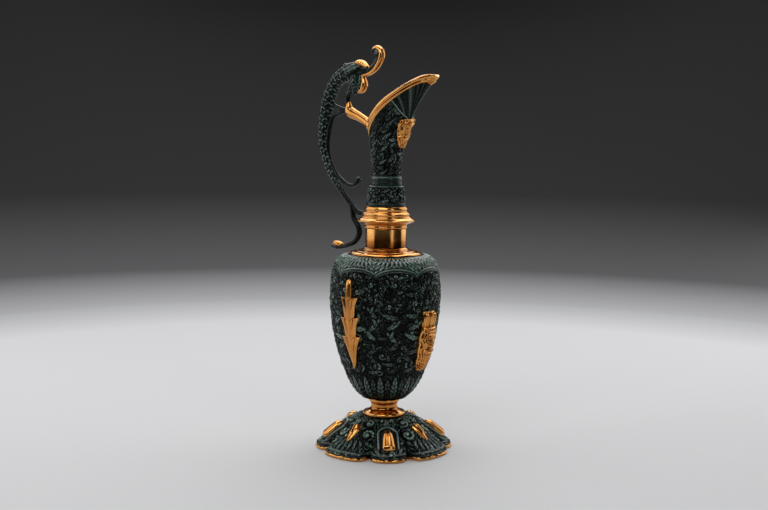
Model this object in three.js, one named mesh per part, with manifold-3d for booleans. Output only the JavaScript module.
// A footed bronze ewer: patinated foot, body, neck and scroll handle, with gilt mounts.
// Millimetres, +Z up. The spout points along +X, the handle along -X.
// The origin is on the floor, under the middle of the whole outline.

import * as THREE from "three";
import { mergeVertices } from "three/addons/utils/BufferGeometryUtils.js";
import Module from "manifold-3d";

const wasm = await Module();
wasm.setup();

// Clearance and resolution
const FIT = 0.3; // gap between two pieces that touch
const TURN_SEGMENTS = 32; // facets round a turned piece
const FOOT_SEGMENTS = 72; // one facet every 5 degrees, so that each cusp has its own corner
const RIM_SEGMENTS = 36; // facets round the neck and the lip
const CURVE_STEPS = 5; // points on each curved stretch of a turned profile
const PEG_SIDES = 8;
const SCROLL_SIDES = 8;
const MOUNT_COLUMNS = 4;
const WELD = 1e-4; // corners closer than this are one corner

// Foot: four wide and four narrow lobes on a gilt edge band
const FOOT_HEIGHT = 33;
const FOOT_TOP_RADIUS = 22;
const FOOT_WALL = 3.5;
const FOOT_BOSS = 8; // thickness of the middle, where the tie rod passes
const WIDE_LOBE_RADIUS = 69;
const NARROW_LOBE_RADIUS = 66;
const CUSP_RADIUS = 48;
const NARROW_HALF_ANGLE = THREE.MathUtils.degToRad(20);
const FOOT_SWELL = 1.4; // 1 is a straight slope from the top to the edge, more is rounder
const FOOT_ROUND_RADIUS = 61; // edge radius that the slope heads for at the top, where it has no lobes
const LOBE_GROWTH = 1.6; // how late the lobes grow out of that round slope
const LOBE_BULGE = 2.2; // height of each lobe's middle over the slope
const BAND_HEIGHT = 4.5;
const BAND_WIDTH = 7;
const BAND_PROUD = 1;

// Stem
const STEM_HEIGHT = 18.4;
const STEM_BASE_RADIUS = 21.5;
const STEM_WAIST_RADIUS = 13.3;
const STEM_TOP_RADIUS = 14.8;
const STEM_FLANGE = 3.5;
const EDGE_CHAMFER = 0.8; // on the stem's and the collar's edges

// Body
const BODY_HEIGHT = 145;
const BODY_WALL = 3;
const BODY_FLOOR = 5;
const BODY_BASE_RADIUS = 23;
const BELLY_RADIUS = 56.2;
const BELLY_HEIGHT = 103;
const SHOULDER_RADIUS = 37;
const MOUTH_RADIUS = 24;
const MOUTH_LIP = 4;
const BODY_LOWER = { out: 0.42, up: 0.063, belly: 0.54 }; // fullness, as shares of the lower curve
const BODY_UPPER = { belly: 0.69, out: 0.8, down: 0.02 }; // and of the upper one

// Shoulder sleeve and the ring nut that holds it from inside
const SLEEVE_HEIGHT = 25.7;
const SLEEVE_RADIUS = 20.8;
const SLEEVE_WALL = 2.5;
const SLEEVE_CONE_RADIUS = 36.4;
const SLEEVE_CONE_HEIGHT = 5.2;
const SLEEVE_CONE_EDGE = 1;
const SLEEVE_FILLET = 1.4;
const SLEEVE_SPIGOT = 12;
const LOCK_RING_RADIUS = 32;
const LOCK_RING_HEIGHT = 5;

// Collar
const COLLAR_HEIGHT = 21.7;
const COLLAR_BEAD_RADIUS = 21.8;
const COLLAR_FLANGE_RADIUS = 29.2;
const COLLAR_STEP_RADIUS = 24.8;
const COLLAR_TOP_RADIUS = 21.8;
const COLLAR_SPIGOT = 9;
const COLLAR_SPIGOT_WALL = 3.5;
const COLLAR_FLANGE_LEVEL = 8; // height of the flange's edge above the collar's base
const COLLAR_STEP_LEVEL = 13; // height of the middle of the step, where the handle joins
const COLLAR_STEP_HEIGHT = 4;
const COLLAR_EDGE = 1.4; // height of the flange's upright edge
const COLLAR_COVE = 2.5; // slope on each side of that edge

// Neck
const NECK_WALL = 2.4;
const NECK_SPIGOT_RADIUS = 15.7;
const NECK_SPIGOT = 12;
const NECK_CONE_RADIUS = 20.3;
const NECK_CONE_TOP_RADIUS = 17.4;
const NECK_CONE_HEIGHT = 20;
const NECK_CONE_EDGE = 3;
const NECK_RING_RADIUS = 15.8;
const NECK_RING_HEIGHT = 4;
const NECK_GROOVE = 0.8; // width of the groove between two rings
const THROAT_RADIUS = 15.2;
const THROAT_HEIGHT = 35; // above the neck's seat on the collar

// Spout rim, measured from the neck's seat and from the axis
const SPOUT_REACH = 64.5;
const RIM_BACK_REACH = 19.5;
const RIM_BACK_HEIGHT = 83.7;
const RIM_TIP_HEIGHT = 126.7;
const MOUTH_HALF_WIDTH = 18;
const SPOUT_SWELL = 4.8; // how far the throat bulges beside and behind the spout
const SPOUT_CURVE = { rise: 0.35, back: 0.62, flare: 0.33 }; // shares of the wall's height and reach
const LIP_FRONT_WIDTH = 5.5;
const LIP_BACK_WIDTH = 10;
const LIP_PROUD = 0.9;

// Handle, in the plane of symmetry
const TENON_RADIUS = 1.9;
const TENON_LENGTH = 4.5;
const DOWEL_RADIUS = 1.3;
const DOWEL_LENGTH = 8;
const ARM_PEG_DROP = 2.4; // from the lip's lower edge to the axis of the arm's peg
const KNOB_LENGTH = 14;
const KNOB_HEIGHT = 6.2;
const KNOB_DEPTH = 7;

// Fasteners
const ROD_RADIUS = 4;
const ROD_END = 3; // rod left past each nut
const WASHER_RADIUS = 10;
const WASHER_HEIGHT = 2;
const NUT_WIDTH = 13; // across the flats
const NUT_HEIGHT = 6;
const PEG_RADIUS = 1.2;
const PEG_DEPTH = 1.5; // how far a mount's peg enters the wall

// Mounts: first and last place on the surface, and relief
const SIDE_LEAF = { bottom: 36, top: 126, relief: 3.6, rows: 16 }; // heights above the body's seat
const BODY_MASK = { bottom: 32, top: 93, relief: 9, rows: 12 };
const SPOUT_MASK = { bottom: 0.24, top: 0.56, relief: 3, rows: 8 }; // shares from throat to rim
const FOOT_DROP = { margin: 6, length: 20, relief: 3.4, rows: 6 }; // inward from the lobe's edge
const FOOT_BUD = { margin: 12.5, length: 20.5, relief: 4, rows: 6 };
const EDGE_RELIEF = 0.8;
const CROWN_END = 0.08; // how far along its swell a mount's relief starts and ends

// Chasing in low relief on the walls, in lengths along the wall and columns round it
const CHASING = { proud: 0.7, sunk: 0.4 };
const BODY_COLUMNS = 96; // facets round the body, a multiple of every count that repeats there
const LINING_STEPS = 3; // points on each curve of the body's inside
const LEAF_COLUMNS = 6; // from one leaf to the next
const BASE_LEAF = { length: 32, stations: [[0.12, 2], [0.4, 2], [0.7, 1.6], [1, 1]] }; // way up, half width
const BELLY_LEAF = { rows: 8, start: 37, pitch: 12 };
const BELLY_CURL = [[0.5, 1, 0.8, -1, -1, -1], [-1, -1, -1, 0.7, -1, -1]]; // relief on its two rows
const ARCHES = { count: 8, turn: 2, cusp: 134.7, peak: 143.5, half: 1.7 };
const FEATHERS = { columns: 2, ways: [0.3, 0.8] }; // ways from the arches to the shoulder's edge
const MOUNT_MARGIN = 4.5; // plain wall left round a mount
const FOOT_HOOP = { middle: 26, size: 9.6, reach: 14, half: 1.3, proud: 1.2, root: 0.7 }; // middle: from the top
const HOOP_STEPS = 6; // facets round a hoop's closed end, and on its two straight sides

// Finishes
const PATINA = { color: 0x1b2e28, roughness: 0.4, metalness: 0.8 };
const GILT = { color: 0xdca552, roughness: 0.16, metalness: 1 };
const STEEL = { color: 0x8d9094, roughness: 0.35, metalness: 1 };
const FIBRE = { color: 0x6d5238, roughness: 0.9, metalness: 0 };

// Levels, stacked from the floor
const stemBase = FOOT_HEIGHT + FIT;
const bodyBase = stemBase + STEM_HEIGHT + FIT;
const bellyLevel = bodyBase + BELLY_HEIGHT;
const bodyTop = bodyBase + BODY_HEIGHT;
const sleeveBase = bodyTop + FIT;
const collarBase = sleeveBase + SLEEVE_HEIGHT + FIT;
const collarTop = collarBase + COLLAR_HEIGHT;
const neckBase = collarTop + FIT;
const throatLevel = neckBase + THROAT_HEIGHT;
const rodHole = ROD_RADIUS + FIT;

const ewer = new THREE.Group();
ewer.name = "ewer";

function piece(name, geometry, finish) {
  const mesh = new THREE.Mesh(geometry, new THREE.MeshStandardMaterial(finish));
  mesh.name = name;
  ewer.add(mesh);
}

// Solids

// Turns an indexed geometry's faces outward.
function facingOut(geometry) {
  const position = geometry.getAttribute("position");
  const index = geometry.index.array;
  const [a, b, c] = [new THREE.Vector3(), new THREE.Vector3(), new THREE.Vector3()];
  let volume = 0;
  for (let i = 0; i < index.length; i += 3) {
    a.fromBufferAttribute(position, index[i]);
    b.fromBufferAttribute(position, index[i + 1]);
    c.fromBufferAttribute(position, index[i + 2]);
    volume += a.dot(b.cross(c));
  }
  if (volume < 0) index.reverse();
  return geometry;
}

// A closed surface through rings of points: with a cap across each end, or joined round on itself.
function skin(rings, joined = false) {
  const count = rings[0].length;
  const points = rings.flat();
  const faces = [];
  const spans = joined ? rings.length : rings.length - 1;
  for (let row = 0; row < spans; row++) {
    const next = (row + 1) % rings.length;
    for (let k = 0; k < count; k++) {
      const beside = (k + 1) % count;
      const [a, b] = [row * count + k, row * count + beside];
      const [c, d] = [next * count + beside, next * count + k];
      faces.push(a, b, c, a, c, d);
    }
  }
  const cap = (row, flip) => {
    const at = (k) => row * count + k;
    for (let k = 0; 2 * k + 2 < count; k++) {
      const [a, b, c, d] = [at(k), at(k + 1), at(count - 2 - k), at(count - 1 - k)];
      const strip = b === c ? [a, b, d] : [a, b, c, a, c, d];
      faces.push(...(flip ? strip.reverse() : strip));
    }
  };
  if (!joined) {
    cap(0, true);
    cap(rings.length - 1, false);
  }
  const geometry = new THREE.BufferGeometry().setFromPoints(points);
  geometry.setIndex(faces);
  return facingOut(geometry);
}

// A ring turned about the Z axis from a closed outline of radii and heights.
function turned(outline) {
  const points = outline.getPoints(CURVE_STEPS);
  points.push(points[0].clone());
  return facingOut(new THREE.LatheGeometry(points, TURN_SEGMENTS).rotateX(Math.PI / 2));
}

function outlineThrough(corners) {
  return new THREE.Path(corners.map(([radius, height]) => new THREE.Vector2(radius, height)));
}

// A round bar between two points.
function bar(from, to, radius, sides = 12) {
  const along = new THREE.Vector3().subVectors(to, from);
  const geometry = new THREE.CylinderGeometry(radius, radius, along.length(), sides);
  const turn = new THREE.Quaternion();
  turn.setFromUnitVectors(new THREE.Vector3(0, 1, 0), along.clone().normalize());
  const middle = from.clone().lerp(to, 0.5);
  return geometry.applyQuaternion(turn).translate(middle.x, middle.y, middle.z);
}

function upright(bottom, height, radius) {
  const at = (z) => new THREE.Vector3(0, 0, z);
  return bar(at(bottom), at(bottom + height), radius, TURN_SEGMENTS);
}

// A plate with a round hole, standing on a level.
function bored(outline, hole, bottom, height) {
  outline.holes.push(new THREE.Path().absarc(0, 0, hole, 0, Math.PI * 2, true));
  const options = { depth: height, bevelEnabled: false, curveSegments: TURN_SEGMENTS / 4 };
  return new THREE.ExtrudeGeometry(outline, options).translate(0, 0, bottom);
}

function washer(bottom) {
  const disc = new THREE.Shape().absarc(0, 0, WASHER_RADIUS, 0, Math.PI * 2);
  return bored(disc, rodHole, bottom, WASHER_HEIGHT);
}

function nut(bottom) {
  const corner = NUT_WIDTH / Math.sqrt(3);
  const hexagon = new THREE.Shape();
  for (let k = 0; k < 6; k++) {
    const angle = (k * Math.PI) / 3;
    const method = k ? "lineTo" : "moveTo";
    hexagon[method](corner * Math.cos(angle), corner * Math.sin(angle));
  }
  return bored(hexagon, rodHole, bottom, NUT_HEIGHT);
}

// Joins and cuts
function solid(geometry) {
  const bare = new THREE.BufferGeometry();
  bare.setAttribute("position", geometry.getAttribute("position"));
  bare.setIndex(geometry.index);
  const merged = mergeVertices(bare, WELD);
  const vertProperties = merged.getAttribute("position").array;
  const triVerts = new Uint32Array(merged.index.array);
  return new wasm.Manifold(new wasm.Mesh({ numProp: 3, vertProperties, triVerts }));
}

function geometryOf(joined) {
  const mesh = joined.getMesh();
  const geometry = new THREE.BufferGeometry();
  geometry.setAttribute("position", new THREE.BufferAttribute(mesh.vertProperties, 3));
  geometry.setIndex(new THREE.BufferAttribute(mesh.triVerts, 1));
  return geometry;
}

const fused = (geometries) => geometries.map(solid).reduce((a, b) => a.add(b));
const cut = (whole, geometries) => geometries.map(solid).reduce((a, b) => a.subtract(b), whole);

// Surfaces that carry mounts. Each takes an angle about the axis and a place along the wall.

const quarter = Math.PI / 2;

// The lobe at an angle, wide at the four axes, and the share of the way from its middle to its cusp.
function lobePlace(angle) {
  const fromWide = Math.abs(angle - quarter * Math.round(angle / quarter));
  const wideHalf = quarter / 2 - NARROW_HALF_ANGLE;
  const wide = fromWide <= wideHalf;
  return { wide, share: wide ? fromWide / wideHalf : (quarter / 2 - fromWide) / NARROW_HALF_ANGLE };
}

// The plan of the foot: its radius at an angle.
function lobeRadius(angle) {
  const { wide, share } = lobePlace(angle);
  const [radius, squareness] = wide ? [WIDE_LOBE_RADIUS, 6] : [NARROW_LOBE_RADIUS, 3];
  return CUSP_RADIUS + (radius - CUSP_RADIUS) * Math.sqrt(Math.max(0, 1 - share ** squareness));
}

function polar(angle, radius, height) {
  return new THREE.Vector3(radius * Math.cos(angle), radius * Math.sin(angle), height);
}

// The foot's slope, round at its flat top (rise 1) and lobed towards its edge (rise 0).
function footSlope(angle, rise, top, inset) {
  const share = Math.max(0, 1 - rise);
  const lobes = (lobeRadius(angle) - FOOT_ROUND_RADIUS) * share ** LOBE_GROWTH;
  const radius = FOOT_TOP_RADIUS + (FOOT_ROUND_RADIUS + lobes - inset - FOOT_TOP_RADIUS) * share;
  const bottom = BAND_HEIGHT + FIT;
  return polar(angle, radius, bottom + (top - bottom) * (1 - share ** FOOT_SWELL));
}

// The outer face, where each lobe bulges over that slope.
function footWall(angle, rise) {
  const slope = (turn, place) => footSlope(turn, place, FOOT_HEIGHT, 0);
  const bulge = LOBE_BULGE * (1 - lobePlace(angle).share ** 2) * Math.sin(Math.PI * rise);
  return slope(angle, rise).addScaledVector(facing(slope, angle, rise).normal, Math.max(0, bulge));
}

// The same face by radius instead of rise, for what is set out along a lobe. Radii run inward.
function footSurface(angle, inward) {
  let rise = 0.5;
  for (let halving = 0.25; halving > 1e-9; halving /= 2) {
    const { x, y } = footSlope(angle, rise, FOOT_HEIGHT, 0);
    rise += Math.hypot(x, y) > -inward ? halving : -halving;
  }
  return footWall(angle, rise);
}

// And by the length down its slope from the top, as a share of the longest one.
function footLength(angle, length) {
  return footWall(angle, 1 - length / (WIDE_LOBE_RADIUS - FOOT_TOP_RADIUS));
}

// The body's outline: a lower curve from the seat to the belly, and an upper one to the shoulder.
function bodyCurves(inset) {
  const belly = BELLY_RADIUS - inset;
  const seat = bodyBase + (inset ? BODY_FLOOR : 0);
  const top = bodyTop - (inset ? MOUTH_LIP : 0);
  const lowerSpan = BELLY_RADIUS - BODY_BASE_RADIUS;
  const upperSpan = BELLY_RADIUS - SHOULDER_RADIUS;
  const rise = bodyTop - bellyLevel;
  const at = (radius, height) => new THREE.Vector2(radius, height);
  const lower = new THREE.CubicBezierCurve(
    at(BODY_BASE_RADIUS - inset, seat),
    at(BODY_BASE_RADIUS + BODY_LOWER.out * lowerSpan - inset, seat + BODY_LOWER.up * BELLY_HEIGHT),
    at(belly, bodyBase + BODY_LOWER.belly * BELLY_HEIGHT),
    at(belly, bellyLevel),
  );
  const upper = new THREE.CubicBezierCurve(
    at(belly, bellyLevel),
    at(belly, bellyLevel + BODY_UPPER.belly * rise - inset),
    at(SHOULDER_RADIUS + BODY_UPPER.out * upperSpan - inset, top - BODY_UPPER.down * rise),
    at(SHOULDER_RADIUS - inset, top),
  );
  return [lower, upper];
}

const [bodyLower, bodyUpper] = bodyCurves(0);

function bodySurface(angle, height) {
  const curve = height < bellyLevel ? bodyLower : bodyUpper;
  let place = 0.5;
  for (let halving = 0.25; halving > 1e-9; halving /= 2) {
    place += curve.getPoint(place).y < height ? halving : -halving;
  }
  return polar(angle, curve.getPoint(place).x, height);
}

// The same wall by the length along it from the seat.
function bodyLength(angle, length) {
  const past = length - bodyLower.getLength();
  const curve = past < 0 ? bodyLower : bodyUpper;
  const { x, y } = curve.getPointAt(Math.min(1, (past < 0 ? length : past) / curve.getLength()));
  return polar(angle, x, y);
}

// The spout's rim, as shares of its length, half width and rise from the back to the tip.
const RIM_SHAPE = [
  [0, 0, 0],
  [0.076, 0.667, 0.112],
  [0.298, 1, 0.456],
  [0.579, 0.806, 0.795],
  [0.801, 0.417, 1.009],
  [0.94, 0.21, 1.065],
  [1, 0, 1],
];

function rimCurve(inset) {
  const back = -RIM_BACK_REACH + inset;
  const length = SPOUT_REACH - 2 * inset - back;
  const half = MOUTH_HALF_WIDTH - inset;
  const rise = RIM_TIP_HEIGHT - RIM_BACK_HEIGHT;
  const at = ([along, aside, up], side) =>
    new THREE.Vector3(
      back + along * length,
      side * aside * half,
      neckBase + RIM_BACK_HEIGHT + up * rise,
    );
  const right = RIM_SHAPE.map((share) => at(share, -1));
  const left = RIM_SHAPE.slice(1, -1).map((share) => at(share, 1));
  return new THREE.CatmullRomCurve3([...right, ...left.reverse()], true);
}

const rimCurves = new Map();

// The wall of the neck above the throat: angle 0 is the spout's front, way 0 the throat and 1 the rim.
function spoutCurve(angle, inset) {
  if (!rimCurves.has(inset)) rimCurves.set(inset, rimCurve(inset));
  const around = THREE.MathUtils.euclideanModulo(angle / (2 * Math.PI) + 0.5, 1);
  const rim = rimCurves.get(inset).getPointAt(around);
  const throat = polar(angle, THROAT_RADIUS - inset, throatLevel);
  const rise = rim.z - throat.z;
  const aside = Math.sin(Math.min(Math.abs(angle), Math.PI / 2));
  const swell = polar(angle, SPOUT_SWELL * aside, 0);
  const first = throat.clone().add(new THREE.Vector3(0, 0, SPOUT_CURVE.rise * rise));
  const second = rim.clone().lerp(throat, SPOUT_CURVE.back).add(swell);
  second.z = rim.z - SPOUT_CURVE.flare * rise;
  return new THREE.CubicBezierCurve3(throat, first, second, rim);
}

// Near the rim, the share of the wall's curve that a length takes.
function shareOf(length, curve) {
  return length / (3 * curve.v3.distanceTo(curve.v2));
}

// Where the gilt lip takes over from the wall, as a share of the way to the rim. It is widest behind.
function lipStart(angle, curve) {
  const behind = ((1 - Math.cos(angle)) / 2) ** 3;
  return 1 - shareOf(LIP_FRONT_WIDTH + (LIP_BACK_WIDTH - LIP_FRONT_WIDTH) * behind, curve);
}

function spoutSurface(angle, way) {
  return spoutCurve(angle, 0).getPoint(way);
}

// The outward direction of such a surface, and its millimetres for each radian.
function facing(surface, angle, place) {
  const step = 1e-3;
  const around = surface(angle + step, place).sub(surface(angle - step, place));
  const along = surface(angle, place + step).sub(surface(angle, place - step));
  return { normal: around.clone().cross(along).normalize(), scale: around.length() / (2 * step) };
}

// Mounts

// A relief plate that follows a surface, with pegs into the wall behind it.
// Its outline is a list of [share of the length, half width].
function mount(surface, { angle, from, to, rows, relief, outline, pegs }) {
  const halfAt = (share) => {
    const k = Math.max(1, outline.findIndex(([end]) => end >= share));
    const [[a, wide], [b, wider]] = [outline[k - 1], outline[k]];
    return wide + ((wider - wide) * (share - a)) / (b - a);
  };
  const rings = [];
  for (let row = 0; row <= rows; row++) {
    const share = row / rows;
    const place = from + (to - from) * share;
    const { scale } = facing(surface, angle, place);
    const top = [];
    const back = [];
    for (let column = 0; column <= MOUNT_COLUMNS; column++) {
      const across = (2 * column) / MOUNT_COLUMNS - 1;
      const turn = angle + (across * halfAt(share)) / scale;
      const { normal } = facing(surface, turn, place);
      const swell = Math.sin(Math.PI * (CROWN_END + (1 - 2 * CROWN_END) * share));
      const crown = (1 - across * across) * Math.sqrt(swell);
      const height = FIT + EDGE_RELIEF + (relief - EDGE_RELIEF) * crown;
      const foot = surface(turn, place);
      top.push(foot.clone().addScaledVector(normal, height));
      back.unshift(foot.addScaledVector(normal, FIT));
    }
    rings.push([...top, ...back]);
  }
  const pegAt = (share, radius, outer, inner) => {
    const place = from + (to - from) * share;
    const { normal } = facing(surface, angle, place);
    const foot = surface(angle, place);
    const end = (height) => foot.clone().addScaledVector(normal, height);
    return bar(end(outer), end(-inner), radius, PEG_SIDES);
  };
  const grip = FIT + EDGE_RELIEF;
  const plate = fused([skin(rings), ...pegs.map((share) => pegAt(share, PEG_RADIUS, grip, PEG_DEPTH))]);
  const holes = pegs.map((share) => pegAt(share, PEG_RADIUS + FIT, FIT, PEG_DEPTH + FIT));
  return { geometry: geometryOf(plate), holes };
}

// Lobed leaf on each side of the body: its lobes point up, one above the other, under a bud.
const LEAF_OUTLINE = [
  [0, 0.8],
  [0.18, 6.5],
  [0.33, 12],
  [0.37, 8.5],
  [0.54, 12.5],
  [0.58, 8],
  [0.77, 12],
  [0.81, 5],
  [0.95, 4.8],
  [1, 2.8],
];

// Bearded mask under a crown, wide at the brow.
const MASK_OUTLINE = [
  [0, 5.2],
  [0.16, 8.2],
  [0.32, 9.6],
  [0.52, 10.8],
  [0.68, 11],
  [0.74, 9],
  [1, 8.5],
];

const SPOUT_MASK_OUTLINE = [
  [0, 4.5],
  [0.25, 8.5],
  [0.6, 11.5],
  [0.85, 13.5],
  [1, 13],
];

const DROP_OUTLINE = [
  [0, 5],
  [0.12, 6.5],
  [0.5, 5.8],
  [0.82, 4.6],
  [1, 2.6],
];

const BUD_OUTLINE = [
  [0, 1.4],
  [0.45, 2.6],
  [0.65, 5],
  [0.88, 4.8],
  [1, 2.8],
];

const bodyHoles = [];
const bodySeats = [];
const footHoles = [];
const spoutHoles = [];

function bodyMount(name, angle, { bottom, top, relief, rows }, outline) {
  const made = mount(bodySurface, {
    angle,
    from: bodyBase + bottom,
    to: bodyBase + top,
    rows,
    relief,
    outline,
    pegs: [0.33, 0.7],
  });
  bodyHoles.push(...made.holes);
  bodySeats.push({ angle, bottom, top, half: Math.max(...outline.map(([, half]) => half)) });
  piece(name, made.geometry, GILT);
}

bodyMount("body_leaf_right", -quarter, SIDE_LEAF, LEAF_OUTLINE);
bodyMount("body_leaf_left", quarter, SIDE_LEAF, LEAF_OUTLINE);
bodyMount("body_mask_front", 0, BODY_MASK, MASK_OUTLINE);
bodyMount("body_mask_back", Math.PI, BODY_MASK, MASK_OUTLINE);

function footMount(name, angle, lobe, { margin, length, relief, rows }, outline) {
  const outer = lobe - margin;
  const made = mount(footSurface, {
    angle,
    from: -outer,
    to: length - outer,
    rows,
    relief,
    outline,
    pegs: [0.7],
  });
  footHoles.push(...made.holes);
  piece(name, made.geometry, GILT);
}

for (let k = 0; k < 4; k++) {
  footMount("foot_bud_" + (k + 1), k * quarter, WIDE_LOBE_RADIUS, FOOT_BUD, BUD_OUTLINE);
  footMount("foot_drop_" + (k + 1), (k + 0.5) * quarter, NARROW_LOBE_RADIUS, FOOT_DROP, DROP_OUTLINE);
}

const spoutMask = mount(spoutSurface, {
  angle: 0,
  from: SPOUT_MASK.bottom,
  to: SPOUT_MASK.top,
  rows: SPOUT_MASK.rows,
  relief: SPOUT_MASK.relief,
  outline: SPOUT_MASK_OUTLINE,
  pegs: [0.56],
});
spoutHoles.push(...spoutMask.holes);
piece("spout_mask", spoutMask.geometry, GILT);

function ringRound(segments, pointAt) {
  return Array.from({ length: segments }, (_, k) => pointAt((2 * Math.PI * k) / segments));
}

// A hoop in low relief round each drop, open outwards: a crest between two edges in the wall.
function footHoop(angle) {
  const { middle, size, reach, half, proud, root } = FOOT_HOOP;
  const sideSteps = HOOP_STEPS / 2;
  const path = [];
  for (let k = -sideSteps; k <= HOOP_STEPS + sideSteps; k++) {
    const turn = Math.PI * (1 + THREE.MathUtils.clamp(k / HOOP_STEPS, 0, 1));
    const past = Math.max(-k, k - HOOP_STEPS, 0) / sideSteps;
    path.push(new THREE.Vector2(size * Math.cos(turn), size * Math.sin(turn) + reach * past));
  }
  const at = (aside, along, height) => {
    const spot = [angle + aside / facing(footLength, angle, middle + along).scale, middle + along];
    return footLength(...spot).addScaledVector(facing(footLength, ...spot).normal, height);
  };
  const spread = half * (1 + root / proud);
  const rings = path.map(({ x, y }, k) => {
    const next = path[Math.min(k + 1, path.length - 1)];
    const way = next.clone().sub(path[Math.max(k - 1, 0)]).normalize().multiplyScalar(spread);
    const edge = (side) => at(x - side * way.y, y + side * way.x, -root);
    return [edge(-1), at(x, y, proud), edge(1)];
  });
  return skin(rings);
}

// Foot and its edge band

function footShell() {
  const rises = [1, 0.84, 0.68, 0.52, 0.38, 0.24, 0.11, 0];
  const hollowRises = [0, 0.3, 0.6, 1];
  const under = FOOT_HEIGHT - FOOT_BOSS;
  const rings = [
    (angle) => polar(angle, rodHole, under),
    (angle) => polar(angle, rodHole, FOOT_HEIGHT),
    ...rises.map((rise) => (angle) => footWall(angle, rise)),
    ...hollowRises.map((rise) => (angle) => footSlope(angle, rise, under, FOOT_WALL)),
  ];
  return skin(rings.map((pointAt) => ringRound(FOOT_SEGMENTS, pointAt)), true);
}

function edgeBand() {
  const outer = (angle) => lobeRadius(angle) + BAND_PROUD;
  const inner = (angle) => lobeRadius(angle) - BAND_WIDTH;
  const chamfer = BAND_PROUD;
  const rings = [
    (angle) => polar(angle, inner(angle), 0),
    (angle) => polar(angle, outer(angle), 0),
    (angle) => polar(angle, outer(angle), BAND_HEIGHT - chamfer),
    (angle) => polar(angle, outer(angle) - chamfer, BAND_HEIGHT),
    (angle) => polar(angle, inner(angle), BAND_HEIGHT),
  ];
  return skin(rings.map((pointAt) => ringRound(FOOT_SEGMENTS, pointAt)), true);
}

const footHoops = [0.5, 1.5, 2.5, 3.5].map((turn) => footHoop(turn * quarter));
piece("foot", geometryOf(cut(fused([footShell(), ...footHoops]), footHoles)), PATINA);
piece("foot_band", edgeBand(), GILT);

// Stem
function stemOutline() {
  const top = stemBase + STEM_HEIGHT;
  const waist = stemBase + STEM_HEIGHT / 2;
  const path = new THREE.Path();
  path.moveTo(rodHole, stemBase);
  path.lineTo(STEM_BASE_RADIUS - EDGE_CHAMFER, stemBase);
  path.lineTo(STEM_BASE_RADIUS, stemBase + EDGE_CHAMFER);
  path.lineTo(STEM_BASE_RADIUS - EDGE_CHAMFER, stemBase + STEM_FLANGE);
  path.quadraticCurveTo(STEM_WAIST_RADIUS, stemBase + STEM_FLANGE, STEM_WAIST_RADIUS, waist);
  path.quadraticCurveTo(STEM_WAIST_RADIUS, top - STEM_FLANGE, STEM_TOP_RADIUS, top - STEM_FLANGE);
  path.lineTo(STEM_TOP_RADIUS, top);
  path.lineTo(rodHole, top);
  return path;
}

piece("stem", turned(stemOutline()), GILT);

// Body: an open shell with a bored floor and a flat mouth, chased in low relief

// Whether the wall carries a mount near a place.
function isCovered(angle, { x, y, z }) {
  return bodySeats.some((seat) => {
    const turn = Math.atan2(Math.sin(angle - seat.angle), Math.cos(angle - seat.angle));
    const beside = Math.hypot(x, y) * Math.abs(turn) > seat.half + MOUNT_MARGIN;
    const above = z - bodyBase > seat.top + MOUNT_MARGIN;
    return !beside && !above && z - bodyBase > seat.bottom - MOUNT_MARGIN;
  });
}

// Rows of the chased wall from the seat to the shoulder: each has its length along the wall at an angle,
// and the share of the relief at a column.
function chasedRows() {
  const total = bodyLower.getLength() + bodyUpper.getLength();
  const rows = [{ length: () => 0, share: () => 0 }];
  for (const [way, half] of BASE_LEAF.stations) {
    const share = (k) => {
      const aside = Math.abs((k % LEAF_COLUMNS) - LEAF_COLUMNS / 2);
      const flank = aside < half ? 0.6 : -1;
      return aside ? flank : 1;
    };
    rows.push({ length: () => BASE_LEAF.length * way, share });
  }
  for (let row = 0; row < 2 * BELLY_LEAF.rows; row++) {
    const leansLeft = Math.floor(row / 2) % 2 === 1;
    const share = (k) => {
      const column = (k + (leansLeft ? LEAF_COLUMNS / 2 : 0)) % LEAF_COLUMNS;
      return BELLY_CURL[row % 2][leansLeft ? LEAF_COLUMNS - 1 - column : column];
    };
    rows.push({ length: () => BELLY_LEAF.start + (row * BELLY_LEAF.pitch) / 2, share });
  }
  const arch = (angle) => {
    const turn = angle / (2 * Math.PI) - ARCHES.turn / BODY_COLUMNS;
    const place = 2 * THREE.MathUtils.euclideanModulo(turn * ARCHES.count + 0.5, 1) - 1;
    return ARCHES.cusp + (ARCHES.peak - ARCHES.cusp) * Math.sqrt(1 - place * place);
  };
  for (const side of [-1, 0, 1]) {
    rows.push({ length: (angle) => arch(angle) + side * ARCHES.half, share: () => (side ? -1 : 1) });
  }
  for (const way of FEATHERS.ways) {
    const length = (angle) => THREE.MathUtils.lerp(arch(angle) + ARCHES.half, total, way);
    rows.push({ length, share: (k) => (k % FEATHERS.columns ? 1 : -1) });
  }
  rows.push({ length: () => total, share: () => 0 });
  return rows;
}

function bodyShell() {
  const chasedRing = ({ length, share }) =>
    Array.from({ length: BODY_COLUMNS }, (_, k) => {
      const angle = (2 * Math.PI * k) / BODY_COLUMNS;
      const wall = bodyLength(angle, length(angle));
      const amount = isCovered(angle, wall) ? 0 : share(k);
      if (!amount) return wall;
      const height = amount * (amount > 0 ? CHASING.proud : CHASING.sunk);
      return wall.addScaledVector(facing(bodyLength, angle, length(angle)).normal, height);
    });
  const [lower, upper] = bodyCurves(BODY_WALL);
  const lining = [...lower.getPoints(LINING_STEPS), ...upper.getPoints(LINING_STEPS).slice(1)].reverse();
  const plain = [
    new THREE.Vector2(MOUTH_RADIUS, bodyTop),
    new THREE.Vector2(MOUTH_RADIUS, bodyTop - MOUTH_LIP),
    ...lining,
    new THREE.Vector2(rodHole, lower.v0.y),
    new THREE.Vector2(rodHole, bodyBase),
  ];
  const plainRings = plain.map(({ x, y }) => ringRound(BODY_COLUMNS, (angle) => polar(angle, x, y)));
  return skin([...chasedRows().map(chasedRing), ...plainRings], true);
}

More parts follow.
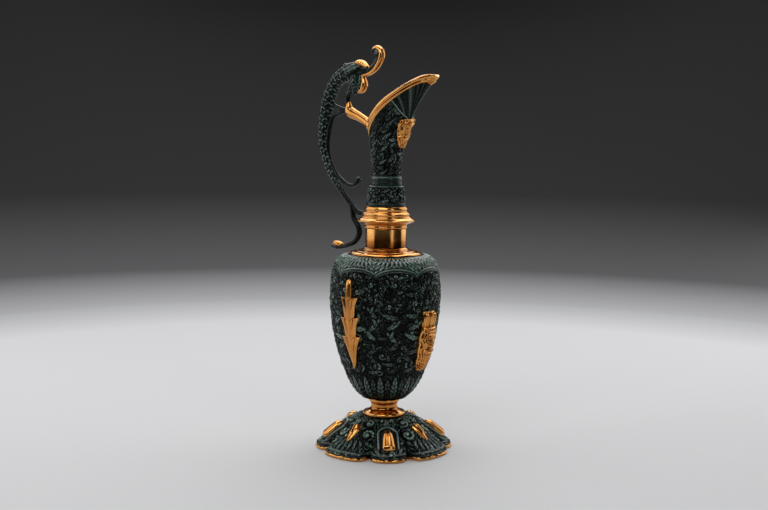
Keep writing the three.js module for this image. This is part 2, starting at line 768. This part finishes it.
piece("body", geometryOf(cut(solid(bodyShell()), bodyHoles)), PATINA);

// Sleeve over the shoulder, with a spigot through the mouth
const spigotRadius = MOUTH_RADIUS - FIT;
const sleeveBore = SLEEVE_RADIUS - SLEEVE_WALL;
const coneTop = sleeveBase + SLEEVE_CONE_HEIGHT;
const sleeveCorners = [
  [sleeveBore, sleeveBase - SLEEVE_SPIGOT],
  [spigotRadius, sleeveBase - SLEEVE_SPIGOT],
  [spigotRadius, sleeveBase],
  [SLEEVE_CONE_RADIUS, sleeveBase],
  [SLEEVE_CONE_RADIUS, sleeveBase + SLEEVE_CONE_EDGE],
  [SLEEVE_RADIUS + SLEEVE_FILLET, coneTop],
  [SLEEVE_RADIUS, coneTop + SLEEVE_FILLET],
  [SLEEVE_RADIUS, sleeveBase + SLEEVE_HEIGHT],
  [sleeveBore, sleeveBase + SLEEVE_HEIGHT],
];
piece("sleeve", turned(outlineThrough(sleeveCorners)), GILT);

const lockTop = bodyTop - MOUTH_LIP - FIT;
const lockCorners = [
  [spigotRadius + FIT, lockTop - LOCK_RING_HEIGHT],
  [LOCK_RING_RADIUS, lockTop - LOCK_RING_HEIGHT],
  [LOCK_RING_RADIUS, lockTop],
  [spigotRadius + FIT, lockTop],
];
piece("lock_ring", turned(outlineThrough(lockCorners)), GILT);

// Collar: a spigot down into the sleeve, a flange, and a socket for the neck
const collarSpigot = sleeveBore - FIT;
const collarBore = collarSpigot - COLLAR_SPIGOT_WALL;
const neckSocket = NECK_SPIGOT_RADIUS + FIT;
const socketFloor = neckBase - NECK_SPIGOT - FIT;
const flangeLevel = collarBase + COLLAR_FLANGE_LEVEL;
const stepLevel = collarBase + COLLAR_STEP_LEVEL;
const collarCorners = [
  [collarBore, collarBase - COLLAR_SPIGOT],
  [collarSpigot, collarBase - COLLAR_SPIGOT],
  [collarSpigot, collarBase],
  [COLLAR_BEAD_RADIUS - EDGE_CHAMFER, collarBase],
  [COLLAR_BEAD_RADIUS, collarBase + EDGE_CHAMFER],
  [COLLAR_BEAD_RADIUS, collarBase + COLLAR_FLANGE_LEVEL / 2],
  [COLLAR_FLANGE_RADIUS - COLLAR_COVE, flangeLevel - COLLAR_COVE],
  [COLLAR_FLANGE_RADIUS, flangeLevel - COLLAR_EDGE / 2],
  [COLLAR_FLANGE_RADIUS, flangeLevel + COLLAR_EDGE / 2],
  [COLLAR_STEP_RADIUS + EDGE_CHAMFER, flangeLevel + COLLAR_COVE],
  [COLLAR_STEP_RADIUS, stepLevel - COLLAR_STEP_HEIGHT / 2],
  [COLLAR_STEP_RADIUS, stepLevel + COLLAR_STEP_HEIGHT / 2],
  [COLLAR_TOP_RADIUS, stepLevel + COLLAR_STEP_HEIGHT],
  [COLLAR_TOP_RADIUS, collarTop - EDGE_CHAMFER],
  [COLLAR_TOP_RADIUS - EDGE_CHAMFER, collarTop],
  [neckSocket, collarTop],
  [neckSocket, socketFloor],
  [collarBore, socketFloor],
];
const alongX = (x, z) => new THREE.Vector3(x, 0, z);
const tenonEnd = COLLAR_STEP_RADIUS - TENON_LENGTH;
const mortise = bar(
  alongX(-COLLAR_STEP_RADIUS - 1, stepLevel),
  alongX(-tenonEnd + FIT, stepLevel),
  TENON_RADIUS + FIT,
);
const collar = cut(solid(turned(outlineThrough(collarCorners))), [mortise]);
piece("collar", geometryOf(collar), GILT);

// Neck and spout, one hollow casting from its spigot to the lip
const neckBore = THROAT_RADIUS - NECK_WALL;
const coneLevel = neckBase + NECK_CONE_HEIGHT;
const ringLevel = coneLevel + NECK_GROOVE + NECK_RING_HEIGHT;
const neckCorners = [
  [NECK_SPIGOT_RADIUS, neckBase - NECK_SPIGOT],
  [NECK_SPIGOT_RADIUS, neckBase],
  [NECK_CONE_RADIUS, neckBase],
  [NECK_CONE_RADIUS, neckBase + NECK_CONE_EDGE],
  [NECK_CONE_TOP_RADIUS, coneLevel],
  [NECK_RING_RADIUS, coneLevel + NECK_GROOVE],
  [NECK_RING_RADIUS, ringLevel],
  [THROAT_RADIUS, ringLevel + NECK_GROOVE / 2],
  [NECK_RING_RADIUS, ringLevel + NECK_GROOVE],
  [NECK_RING_RADIUS, ringLevel + NECK_RING_HEIGHT],
  [THROAT_RADIUS, ringLevel + NECK_RING_HEIGHT + NECK_GROOVE],
];
const spoutWays = [0, 0.12, 0.24, 0.34, 0.44, 0.54, 0.64, 0.76, 0.88, 1];
const boreWays = [0, 0.25, 0.5, 0.75, 1];

// Angles round the rim, from the back past the right side to the front and back again.
function roundRim(pointAt) {
  return Array.from({ length: RIM_SEGMENTS }, (_, k) => pointAt((2 * Math.PI * k) / RIM_SEGMENTS - Math.PI));
}

function neckShell() {
  const wall = (inset, way) => (angle) => {
    const curve = spoutCurve(angle, inset);
    return curve.getPoint(way * lipStart(angle, curve));
  };
  const rings = [
    ...neckCorners.map(([radius, height]) => (angle) => polar(angle, radius, height)),
    ...spoutWays.map((way) => wall(0, way)),
    ...boreWays.toReversed().map((way) => wall(NECK_WALL, way)),
    (angle) => polar(angle, neckBore, neckBase - NECK_SPIGOT),
  ];
  return skin(rings.map(roundRim), true);
}

// The solid block that the neck and the lip fill, grown by a clearance.
function spoutBlock(grown) {
  const rings = spoutWays.map((way) => (angle) => spoutCurve(angle, -grown).getPoint(way));
  return skin(rings.map(roundRim));
}

function lipBand() {
  const edge = (inset, past) => (angle) => {
    const curve = spoutCurve(angle, inset);
    const start = lipStart(angle, curve) + shareOf(FIT, curve);
    return curve.getPoint(start + past * (1 - start));
  };
  const [out, inside] = [-LIP_PROUD, NECK_WALL + LIP_PROUD];
  const rings = [
    edge(0, 0),
    edge(out, 0.25),
    edge(out, 0.75),
    edge(0, 1),
    edge(NECK_WALL, 1),
    edge(inside, 0.75),
    edge(inside, 0.25),
    edge(NECK_WALL, 0),
  ];
  return skin(rings.map(roundRim), true);
}

piece("lip_band", lipBand(), GILT);

// Handle: swept scrolls in the plane of symmetry. Each station is [point, half width].
function sweep(stations, depthShare, steps = 2, grown = 0) {
  const spine = new THREE.CatmullRomCurve3(stations.map(([point]) => point));
  const spans = stations.length - 1;
  const rings = [];
  for (let k = 0; k <= spans * steps; k++) {
    const share = k / (spans * steps);
    const span = Math.min(spans - 1, Math.floor(share * spans));
    const [start, end] = [stations[span][1], stations[span + 1][1]];
    const half = start + (end - start) * (share * spans - span) + grown;
    const tangent = spine.getTangent(share);
    const normal = new THREE.Vector3(-tangent.z, 0, tangent.x);
    const ring = [];
    for (let side = 0; side < SCROLL_SIDES; side++) {
      const angle = (2 * Math.PI * side) / SCROLL_SIDES;
      const point = spine.getPoint(share).addScaledVector(normal, half * Math.cos(angle));
      point.y += half * depthShare * Math.sin(angle);
      ring.push(point);
    }
    rings.push(ring);
  }
  return skin(rings);
}

// Places on the handle, from where it joins the collar and from the back of the rim.
const rimBack = neckBase + RIM_BACK_HEIGHT;
const low = (out, up) => alongX(-COLLAR_STEP_RADIUS - out, stepLevel + up);
const high = (out, up) => alongX(-RIM_BACK_REACH - out, rimBack + up);

const stemScroll = [
  [low(FIT, 0), 2.2],
  [low(14, 1), 2.8],
  [low(28, 13), 3.2],
  [low(42, 28), 3.8],
  [low(53.5, 44), 4.8],
  [high(68, -24), 6.2],
  [high(68, -5), 7],
  [high(63.5, 12.5), 9],
  [high(57.5, 28.5), 8],
  [high(47, 42), 7.4],
  [high(30, 50.5), 8.8],
];
const ribScroll = [
  [high(33, 11.5), 1.8],
  [high(44, 8.5), 2.2],
  [high(54, 2), 2.6],
  [high(59.3, -20), 2.8],
  [high(57, -38), 2.6],
  [low(45, 42), 2.3],
  [low(34, 32), 2],
  [low(24, 27.7), 1.9],
  [low(16.5, 30), 1.9],
  [low(13, 37), 2.3],
];
const lowerScroll = [
  [low(21, 6), 2.4],
  [low(19, -6), 2.4],
  [low(13.5, -14), 2.3],
  [low(12, -21.5), 2.2],
  [low(17, -29.5), 2.1],
  [low(27, -34.5), 2],
  [low(40, -37.4), 1.9],
  [low(48.5, -36.6), 1.5],
];
const bridge = [
  [high(58, 18.5), 2.4],
  [high(45, 14), 2],
  [high(33, 11.5), 1.8],
];
const legFoot = high(32.5, 18.5);
const leg = [
  [high(24, 42), 5],
  [high(29, 32), 3.2],
  [high(33, 24), 2.5],
  [legFoot, 2.5],
];
const skull = [
  [high(40, 46), 7],
  [high(27, 51), 9],
  [high(15, 52), 7],
  [high(7, 51.5), 3],
];
const jaw = [
  [high(23, 50), 8],
  [high(21, 40), 8],
  [high(23, 31), 4.5],
];
const chin = [
  [high(14, 45), 3],
  [high(10.5, 37), 3.4],
  [high(16, 30), 2.6],
];
const brow = [
  [high(25, 58), 1.5],
  [high(16, 59), 2.8],
  [high(7, 55), 1.5],
];
const snout = [
  [high(14, 47), 2.4],
  [high(5, 49), 2.8],
  [high(-2.5, 54), 3.4],
  [high(-8.5, 62), 4],
  [high(-11, 68), 4],
  [high(-7.5, 72.5), 2.8],
  [high(-2, 72), 1.5],
];

// Gilt arm from the creature's leg to the back of the rim, ending in a leaf on the neck.
const shifted = (point, up) => alongX(point.x, point.z + up);
const armStations = [
  [shifted(legFoot, -FIT), 2.5],
  [high(30.4, 10), 5.2],
  [high(17, 5), 3.4],
  [high(8, 0), 3.4],
  [high(1.5, -5), 4.4],
  [high(2, -13), 2],
];

// How deep each sweep is across the plane of symmetry, as a share of its width in the plane
const DEPTH = { stem: 0.8, rib: 1.1, scroll: 1.2, head: 0.85, chin: 1.5, brow: 2, snout: 0.9, arm: 1.1 };

const halfDowel = DOWEL_LENGTH / 2;
const dowel = bar(shifted(legFoot, halfDowel), shifted(legFoot, -halfDowel), DOWEL_RADIUS);
const dowelHole = bar(
  shifted(legFoot, halfDowel + FIT),
  shifted(legFoot, -halfDowel - FIT),
  DOWEL_RADIUS + FIT,
);

// Knob on the end of the lower scroll, with a peg down into it
const [knobStation, scrollHalf] = lowerScroll.at(-2);
const knobSeat = shifted(knobStation, scrollHalf);
const knobMiddle = shifted(knobSeat, FIT + KNOB_HEIGHT / 2);
const knobBall = new THREE.SphereGeometry(1, 12, 8);
knobBall.scale(KNOB_LENGTH / 2, KNOB_DEPTH / 2, KNOB_HEIGHT / 2);
knobBall.translate(knobMiddle.x, 0, knobMiddle.z);
const knobPegEnd = shifted(knobSeat, -PEG_DEPTH);
const knobHoleEnd = shifted(knobPegEnd, -FIT);

const scrolls = fused([
  sweep(stemScroll, DEPTH.stem),
  sweep(ribScroll, DEPTH.rib),
  sweep(lowerScroll, DEPTH.scroll),
  sweep(bridge, DEPTH.scroll),
  sweep(leg, DEPTH.rib),
  sweep(skull, DEPTH.head),
  sweep(jaw, DEPTH.head),
  sweep(chin, DEPTH.chin),
  sweep(brow, DEPTH.brow),
  sweep(snout, DEPTH.snout),
  bar(low(FIT + 1, 0), alongX(-tenonEnd, stepLevel), TENON_RADIUS),
]);
const handle = cut(scrolls, [
  sweep(armStations, DEPTH.arm, 2, FIT),
  dowelHole,
  bar(knobMiddle, knobHoleEnd, PEG_RADIUS + FIT, PEG_SIDES),
]);
piece("handle", geometryOf(handle), PATINA);

const knob = fused([knobBall, bar(knobMiddle, knobPegEnd, PEG_RADIUS, PEG_SIDES)]);
piece("handle_knob", geometryOf(knob), GILT);
piece("arm_dowel", dowel, STEEL);

// The arm's peg enters the neck's wall at its back, under the lip.
const backCurve = spoutCurve(Math.PI, 0);
const armPegFoot = backCurve.getPoint(lipStart(Math.PI, backCurve) - shareOf(ARM_PEG_DROP, backCurve));
const armPeg = (outer, inner, radius) =>
  bar(
    alongX(armPegFoot.x - outer, armPegFoot.z),
    alongX(armPegFoot.x + inner, armPegFoot.z),
    radius,
    PEG_SIDES,
  );
const armBody = cut(solid(sweep(armStations, DEPTH.arm)), [
  spoutBlock(LIP_PROUD + FIT),
  dowelHole,
]);
const armGrip = LIP_PROUD + 2;
piece("handle_arm", geometryOf(armBody.add(solid(armPeg(armGrip, PEG_DEPTH, PEG_RADIUS)))), GILT);
spoutHoles.push(armPeg(FIT, PEG_DEPTH + FIT, PEG_RADIUS + FIT));

piece("neck", geometryOf(cut(solid(neckShell()), spoutHoles)), PATINA);

// Tie rod through the foot, the stem and the body's floor, with a nut and a washer at each end
const baseWasherBottom = FOOT_HEIGHT - FOOT_BOSS - FIT - WASHER_HEIGHT;
const baseNutBottom = baseWasherBottom - FIT - NUT_HEIGHT;
const sealBottom = bodyBase + BODY_FLOOR + FIT;
const bodyWasherBottom = sealBottom + WASHER_HEIGHT + FIT;
const bodyNutBottom = bodyWasherBottom + WASHER_HEIGHT + FIT;
const rodBottom = baseNutBottom - ROD_END;
const rodTop = bodyNutBottom + NUT_HEIGHT + ROD_END;

piece("tie_rod", upright(rodBottom, rodTop - rodBottom, ROD_RADIUS), STEEL);
piece("base_washer", washer(baseWasherBottom), STEEL);
piece("base_nut", nut(baseNutBottom), STEEL);
piece("body_seal", washer(sealBottom), FIBRE);
piece("body_washer", washer(bodyWasherBottom), STEEL);
piece("body_nut", nut(bodyNutBottom), STEEL);

// The origin lies under the middle of the outline, between the handle and the foot's front.
const outline = new THREE.Box3().setFromObject(ewer);
ewer.position.x = -(outline.min.x + outline.max.x) / 2;

export default ewer;
